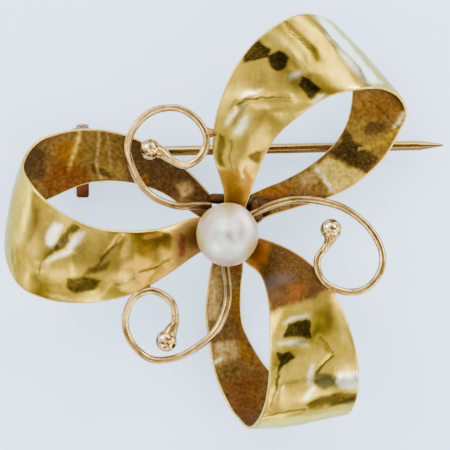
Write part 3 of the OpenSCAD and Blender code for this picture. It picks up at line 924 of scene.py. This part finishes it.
def add_node(tree, kind, inputs, **settings):
    node = tree.nodes.new(kind)
    for name, value in settings.items():
        setattr(node, name, value)
    feed(tree, node, inputs)
    return node


def noise_node(tree, place, scale, detail, distortion=0.0):
    inputs = {"Vector": place, "Scale": scale, "Detail": detail, "Distortion": distortion}
    return add_node(tree, "ShaderNodeTexNoise", inputs).outputs["Fac"]


def ranged(tree, source, low, high, start=0.3, end=0.7):
    """A value taken from between start and end to between low and high."""
    inputs = {"Value": source, "From Min": start, "From Max": end, "To Min": low, "To Max": high}
    return add_node(tree, "ShaderNodeMapRange", inputs).outputs["Result"]


def multiply_add(tree, source, factor, added, clamp=False):
    """The source times the factor, with another value added."""
    inputs = {0: source, 1: factor, 2: added}
    return add_node(tree, "ShaderNodeMath", inputs, operation="MULTIPLY_ADD", use_clamp=clamp).outputs[0]


def colour_mix(tree, blend, factor, first, second):
    inputs = {"Factor": factor, "A": first, "B": second}
    return add_node(tree, "ShaderNodeMix", inputs, data_type="RGBA", blend_type=blend).outputs["Result"]


def colour_ramp(tree, source, stops):
    """The colour at a value from 0 to 1, through stops of place and colour."""
    node = add_node(tree, "ShaderNodeValToRGB", {"Fac": source})
    elements = node.color_ramp.elements
    while len(elements) < len(stops):
        elements.new(0.5)
    for element, (at, colour) in zip(elements, stops):
        element.position = at
        element.color = (*colour, 1)
    return node.outputs["Color"]


def relief(tree, height, strength, distance):
    """Fine relief as a normal. The distance is its full height in metres."""
    inputs = {"Height": height, "Strength": strength, "Distance": distance}
    return add_node(tree, "ShaderNodeBump", inputs).outputs["Normal"]


def tint_node(tree):
    """The colour (and in its alpha the dullness) that each mesh holds point by point."""
    return add_node(tree, "ShaderNodeAttribute", {}, attribute_name="tint")


GRAIN_SCALE = 2600
FLECK_SCALE = 5200
HAIR_SCALE = 3200
WEAR_SCALE = 420
SPECK_COLOUR = (0.3, 0.22, 0.14, 1)
# How much rougher fully dull metal is.
DULL_ROUGHNESS = 0.34


def tinted_metal(name, rough, bump, speck, fleck=0.0):
    """Metal with its tones held in the mesh, and wear, specks and hairlines from noise.

    rough is the least and the most roughness. The rest are strengths: of relief, of dark specks and of
    pale flecks.
    """
    material, tree, shader = new_material(name)
    place = tree.nodes.new("ShaderNodeTexCoord").outputs["Object"]
    tone = tint_node(tree).outputs
    wear = noise_node(tree, place, WEAR_SCALE, 5, 0.4)
    specks = ranged(tree, noise_node(tree, place, GRAIN_SCALE, 3), 0.0, speck)
    colour = colour_mix(tree, "MULTIPLY", specks, tone["Color"], SPECK_COLOUR)
    if fleck:
        flecks = ranged(tree, noise_node(tree, place, FLECK_SCALE, 2), 0.0, fleck, 0.56, 0.8)
        colour = colour_mix(tree, "MIX", flecks, colour, (*GOLD_PALE, 1))
    roughness = ranged(tree, wear, *rough)
    roughness = multiply_add(tree, tone["Alpha"], DULL_ROUGHNESS, roughness, clamp=True)
    stretch = {"Vector": place, "Scale": (1.0, 0.12, 1.0), "Rotation": (0.0, 0.0, 0.6)}
    stretched = add_node(tree, "ShaderNodeMapping", stretch).outputs["Vector"]
    hairs = noise_node(tree, stretched, HAIR_SCALE, 3)
    feed(tree, shader, {"Metallic": 1.0, "Base Color": colour, "Roughness": roughness,
                        "Normal": relief(tree, multiply_add(tree, hairs, 0.35, wear), bump, 0.00006)})
    return material


def metal_with_painted_shading(name, top, middle, low, wander_scale):
    """Rose gold for the CAD's own pieces, with painted highlight and shade in bands by which way the surface
    faces: from the top of the front view, pale, brown, then warm, with painted shade where it faces furthest
    up or down the view.
    """
    material, tree, shader = new_material(name)
    place = tree.nodes.new("ShaderNodeTexCoord").outputs
    split = add_node(tree, "ShaderNodeSeparateXYZ", {"Vector": place["Normal"]})
    wander = noise_node(tree, place["Object"], wander_scale, 4)
    height = ranged(tree, multiply_add(tree, wander, 0.5, split.outputs["Y"]), 0.0, 1.0, -0.75, 1.25)
    stops = [(0.0, ROSE_DARK), (0.28, low), (0.42, middle), (0.52, middle), (0.66, top), (0.85, ROSE),
             (1.0, ROSE_DARK)]
    wear = noise_node(tree, place["Object"], 700, 5)
    feed(tree, shader, {"Metallic": 1.0, "Base Color": colour_ramp(tree, height, stops),
                        "Roughness": ranged(tree, wear, 0.2, 0.36),
                        "Normal": relief(tree, wear, 0.4, 0.00003)})
    return material


def nacre():
    """The pearl's skin: soft pink, cream and green clouds over the tones held in the mesh."""
    material, tree, shader = new_material("nacre")
    place = tree.nodes.new("ShaderNodeTexCoord").outputs["Object"]
    stops = [(0.3, rgb(236, 214, 206)), (0.5, rgb(246, 241, 232)), (0.7, rgb(222, 232, 214))]
    sheen = colour_ramp(tree, noise_node(tree, place, 420, 3, 0.6), stops)
    colour = colour_mix(tree, "MULTIPLY", 1.0, sheen, tint_node(tree).outputs["Color"])
    feed(tree, shader, {"Base Color": colour, "Roughness": 0.28, "Specular IOR Level": 0.25,
                        "Coat Weight": 0.12, "Coat Roughness": 0.12,
                        "Subsurface Weight": 0.06, "Subsurface Scale": 0.001,
                        "Normal": relief(tree, noise_node(tree, place, 900, 4), 0.25, 0.00005)})
    return material


# Tints on the pearl, as seen from the front: x and y (1 is its rim), half sizes, turn, colour, strength.
# Greenish yellow near the rim as painted reflection of the gold, pink and grey veins over the crown, then
# the soft white glows as painted highlights.
PEARL_TINTS = [
    (0.06, 0.8, 0.2, 0.24, 0.0, (150, 132, 56), 0.8),
    (-0.88, -0.25, 0.16, 0.4, 0.15, (160, 142, 68), 0.75),
    (0.74, -0.5, 0.22, 0.4, -0.6, (154, 130, 66), 0.75),
    (-0.6, 0.3, 0.16, 0.42, -0.4, (176, 128, 122), 0.9),
    (-0.1, -0.84, 0.4, 0.12, 0.05, (166, 122, 112), 0.9),
    (0.44, 0.05, 0.14, 0.3, -0.1, (158, 118, 122), 0.85),
    (0.16, -0.26, 0.1, 0.42, 0.35, (116, 98, 98), 0.9),
    (0.02, -0.05, 0.14, 0.12, 0.2, (120, 112, 106), 0.8),
    (-0.35, 0.1, 0.18, 0.4, -0.2, (158, 174, 160), 0.8),
    (-0.1, -0.62, 0.4, 0.12, 0.0, (162, 176, 158), 0.6),
    (-0.36, -0.44, 0.15, 0.16, 0.4, (250, 255, 255), 1.0),
    (0.4, -0.4, 0.07, 0.16, 0.1, (206, 226, 200), 0.8),
    (0.58, 0.44, 0.12, 0.34, 0.5, (255, 255, 255), 1.0),
    (0.44, 0.62, 0.14, 0.12, 0.3, (255, 222, 240), 0.8),
    (-0.12, 0.24, 0.14, 0.1, 0.3, (250, 250, 240), 0.8),
    (-0.16, 0.44, 0.12, 0.08, 0.2, (240, 250, 248), 0.7),
    (0.22, -0.42, 0.08, 0.2, 0.4, (246, 244, 242), 0.7),
]
# Seen from the front, the pearl is slightly taller than wide, and it swells a little here and there.
PEARL_SHAPE = np.array([0.985, 1.0, 0.99])
PEARL_SWELL = 0.02


def pearl():
    points, faces = sphere((0, 0, 0), 1.0, across=96, down=64)
    ball = unit(points)
    swell = 1 + PEARL_SWELL * (clouds(ball, 0.9, 71, 2) - 0.5)
    place = np.array(PEARL_AT) + ball * swell[:, None] * PEARL_D / 2 * PEARL_SHAPE
    up = ball[:, 2]
    colours = np.ones((len(ball), 3)) * rgb(200, 200, 196)
    cloud = clouds(ball, 0.5, 72, 3)
    # Painted reflection of the gold: greenish yellow, darker towards the rim.
    rim = 1 - smoothstep(0.3, 0.95, up)
    colours = blend_in(colours, (rim * (0.6 + 0.7 * cloud)).clip(0, 1), rgb(158, 134, 76))
    for x, y, wide, tall, turn, colour, strength in PEARL_TINTS:
        dx, dy = ball[:, 0] - x, ball[:, 1] - y
        c, s = math.cos(turn), math.sin(turn)
        gap = np.hypot((dx * c + dy * s) / wide, (dy * c - dx * s) / tall)
        colours = blend_in(colours, np.exp(-gap ** 2) * (up > 0) * strength, rgb(*colour))
    return make("pearl_body", place, faces, colours, [nacre()], node="pearl")


polished = tinted_metal("polished_sheet", (0.12, 0.26), 0.25, 0.18)
tarnished = tinted_metal("tarnished_sheet", (0.34, 0.56), 0.9, 0.8, fleck=0.16)
# The rims' paler colour, held in the mesh, is a painted highlight.
rim_metal = tinted_metal("worn_rim_painted_highlight", (0.2, 0.4), 0.4, 0.3)
wire_metal = tinted_metal("scroll_wire", (0.08, 0.22), 0.3, 0.25)
solder_metal = tinted_metal("solder", (0.3, 0.5), 0.9, 0.5)

# In the order of OUTER_FACE, INNER_FACE and RIM.
sheet_metals = [polished, tarnished, rim_metal]
ribbon("left_ribbon", LEFT_LOOP, LEFT_CREASES, LEFT_FRONT, LEFT_BACK, 3, sheet_metals)
ribbon("upper_ribbon", UPPER_LOOP, UPPER_CREASES, UPPER_FRONT, UPPER_BACK, 5, sheet_metals)
ribbon("lower_ribbon", LOWER_LOOP, LOWER_CREASES, LOWER_FRONT, LOWER_BACK, 9, sheet_metals)
scroll("left_scroll", LEFT_SCROLL, 13, wire_metal)
scroll("lower_scroll", LOWER_SCROLL, 17, wire_metal)
scroll("right_scroll", RIGHT_SCROLL, 19, wire_metal)
centre_plate(solder_metal)
catch_hook(solder_metal)
solder_piece("solder_drops", SOLDER_DROPS, 81, solder_metal, ROSE, ROSE_DARK)
solder_piece("root_solder", root_joints(), 91, solder_metal, UMBER, DEEP_BROWN)
pearl()

# The pin and hinge take painted highlight and shade in bands, by which way each face points.
stem_metal = metal_with_painted_shading("pin_wire", rgb(168, 144, 78), rgb(84, 56, 24), rgb(136, 102, 50), 260)
leaf_metal = metal_with_painted_shading("hinge_metal", rgb(206, 136, 104), rgb(132, 72, 48), rgb(172, 100, 70), 900)
for node, metal in (("pin_stem", stem_metal), ("hinge_leaf", leaf_metal), ("hinge_rivet", leaf_metal)):
    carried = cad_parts[node]
    if not carried.material_slots:
        carried.data.materials.append(metal)
    for material_slot in carried.material_slots:
        material_slot.material = metal

# Floor, light and camera, in metres.
FLOOR_HALF = 3.0
FLOOR_GLOW = 0.84
LAMP_TARGET = Vector((0, 0, 0.005))
SKY_PATCHES = 1.9
SKY_STRENGTH = 3.35
CAMERA_AT = (0.00015, -0.00035, 0.606)


def floor():
    """A large pale floor that glows a little, so that it stays as light as in the photograph."""
    mesh = bpy.data.meshes.new("floor")
    far = FLOOR_HALF
    mesh.from_pydata([(-far, -far, 0), (far, -far, 0), (far, far, 0), (-far, far, 0)], [], [(0, 1, 2, 3)])
    plane = new_object("floor", mesh)
    material, tree, shader = new_material("floor")
    tone = (*rgb(201, 227, 255), 1)
    feed(tree, shader, {"Base Color": tone, "Roughness": 0.9, "Specular IOR Level": 0.1,
                        "Emission Color": tone, "Emission Strength": FLOOR_GLOW})
    mesh.materials.append(material)


def sky():
    """Light from all round in soft patches, which the polished metal mirrors."""
    world = bpy.data.worlds.new("studio")
    bpy.context.scene.world = world
    world.use_nodes = True
    tree = world.node_tree
    place = tree.nodes.new("ShaderNodeTexCoord").outputs["Generated"]
    levels = [(0.36, 0.1), (0.56, 0.8), (0.66, 2.6)]
    stops = [(at, (0.94 * level, 0.97 * level, level)) for at, level in levels]
    patches = colour_ramp(tree, noise_node(tree, place, SKY_PATCHES, 1), stops)
    feed(tree, tree.nodes["Background"], {"Color": patches, "Strength": SKY_STRENGTH})


def lamp(name, place, size, power):
    """A square or oblong lamp aimed at the brooch, unseen itself. Its power is in watts."""
    light = bpy.data.lights.new(name, "AREA")
    light.energy = power
    light.shape = "RECTANGLE"
    light.size, light.size_y = size
    lamp_body = new_object(name, light)
    lamp_body.location = place
    aim = LAMP_TARGET - Vector(place)
    lamp_body.rotation_euler = aim.to_track_quat("-Z", "Y").to_euler()
    lamp_body.visible_camera = False


def front_camera():
    """A long lens straight above the brooch."""
    data = bpy.data.cameras.new("camera")
    data.lens = 480
    data.sensor_width = 36
    data.clip_start = 0.01
    data.clip_end = 20
    camera = new_object("camera", data)
    camera.location = CAMERA_AT
    bpy.context.scene.camera = camera


floor()
sky()
lamp("soft_left", (-0.5, 0.35, 0.5), (0.35, 0.35), 4.0)
lamp("soft_right", (0.45, -0.2, 0.55), (0.3, 0.3), 2.2)
lamp("edge_right", (0.36, 0.3, 0.36), (0.16, 0.16), 1.6)
lamp("spark_left", (-0.13, -0.16, 0.56), (0.05, 0.05), 0.14)
lamp("spark_low", (0.05, -0.34, 0.5), (0.07, 0.04), 0.2)
front_camera()
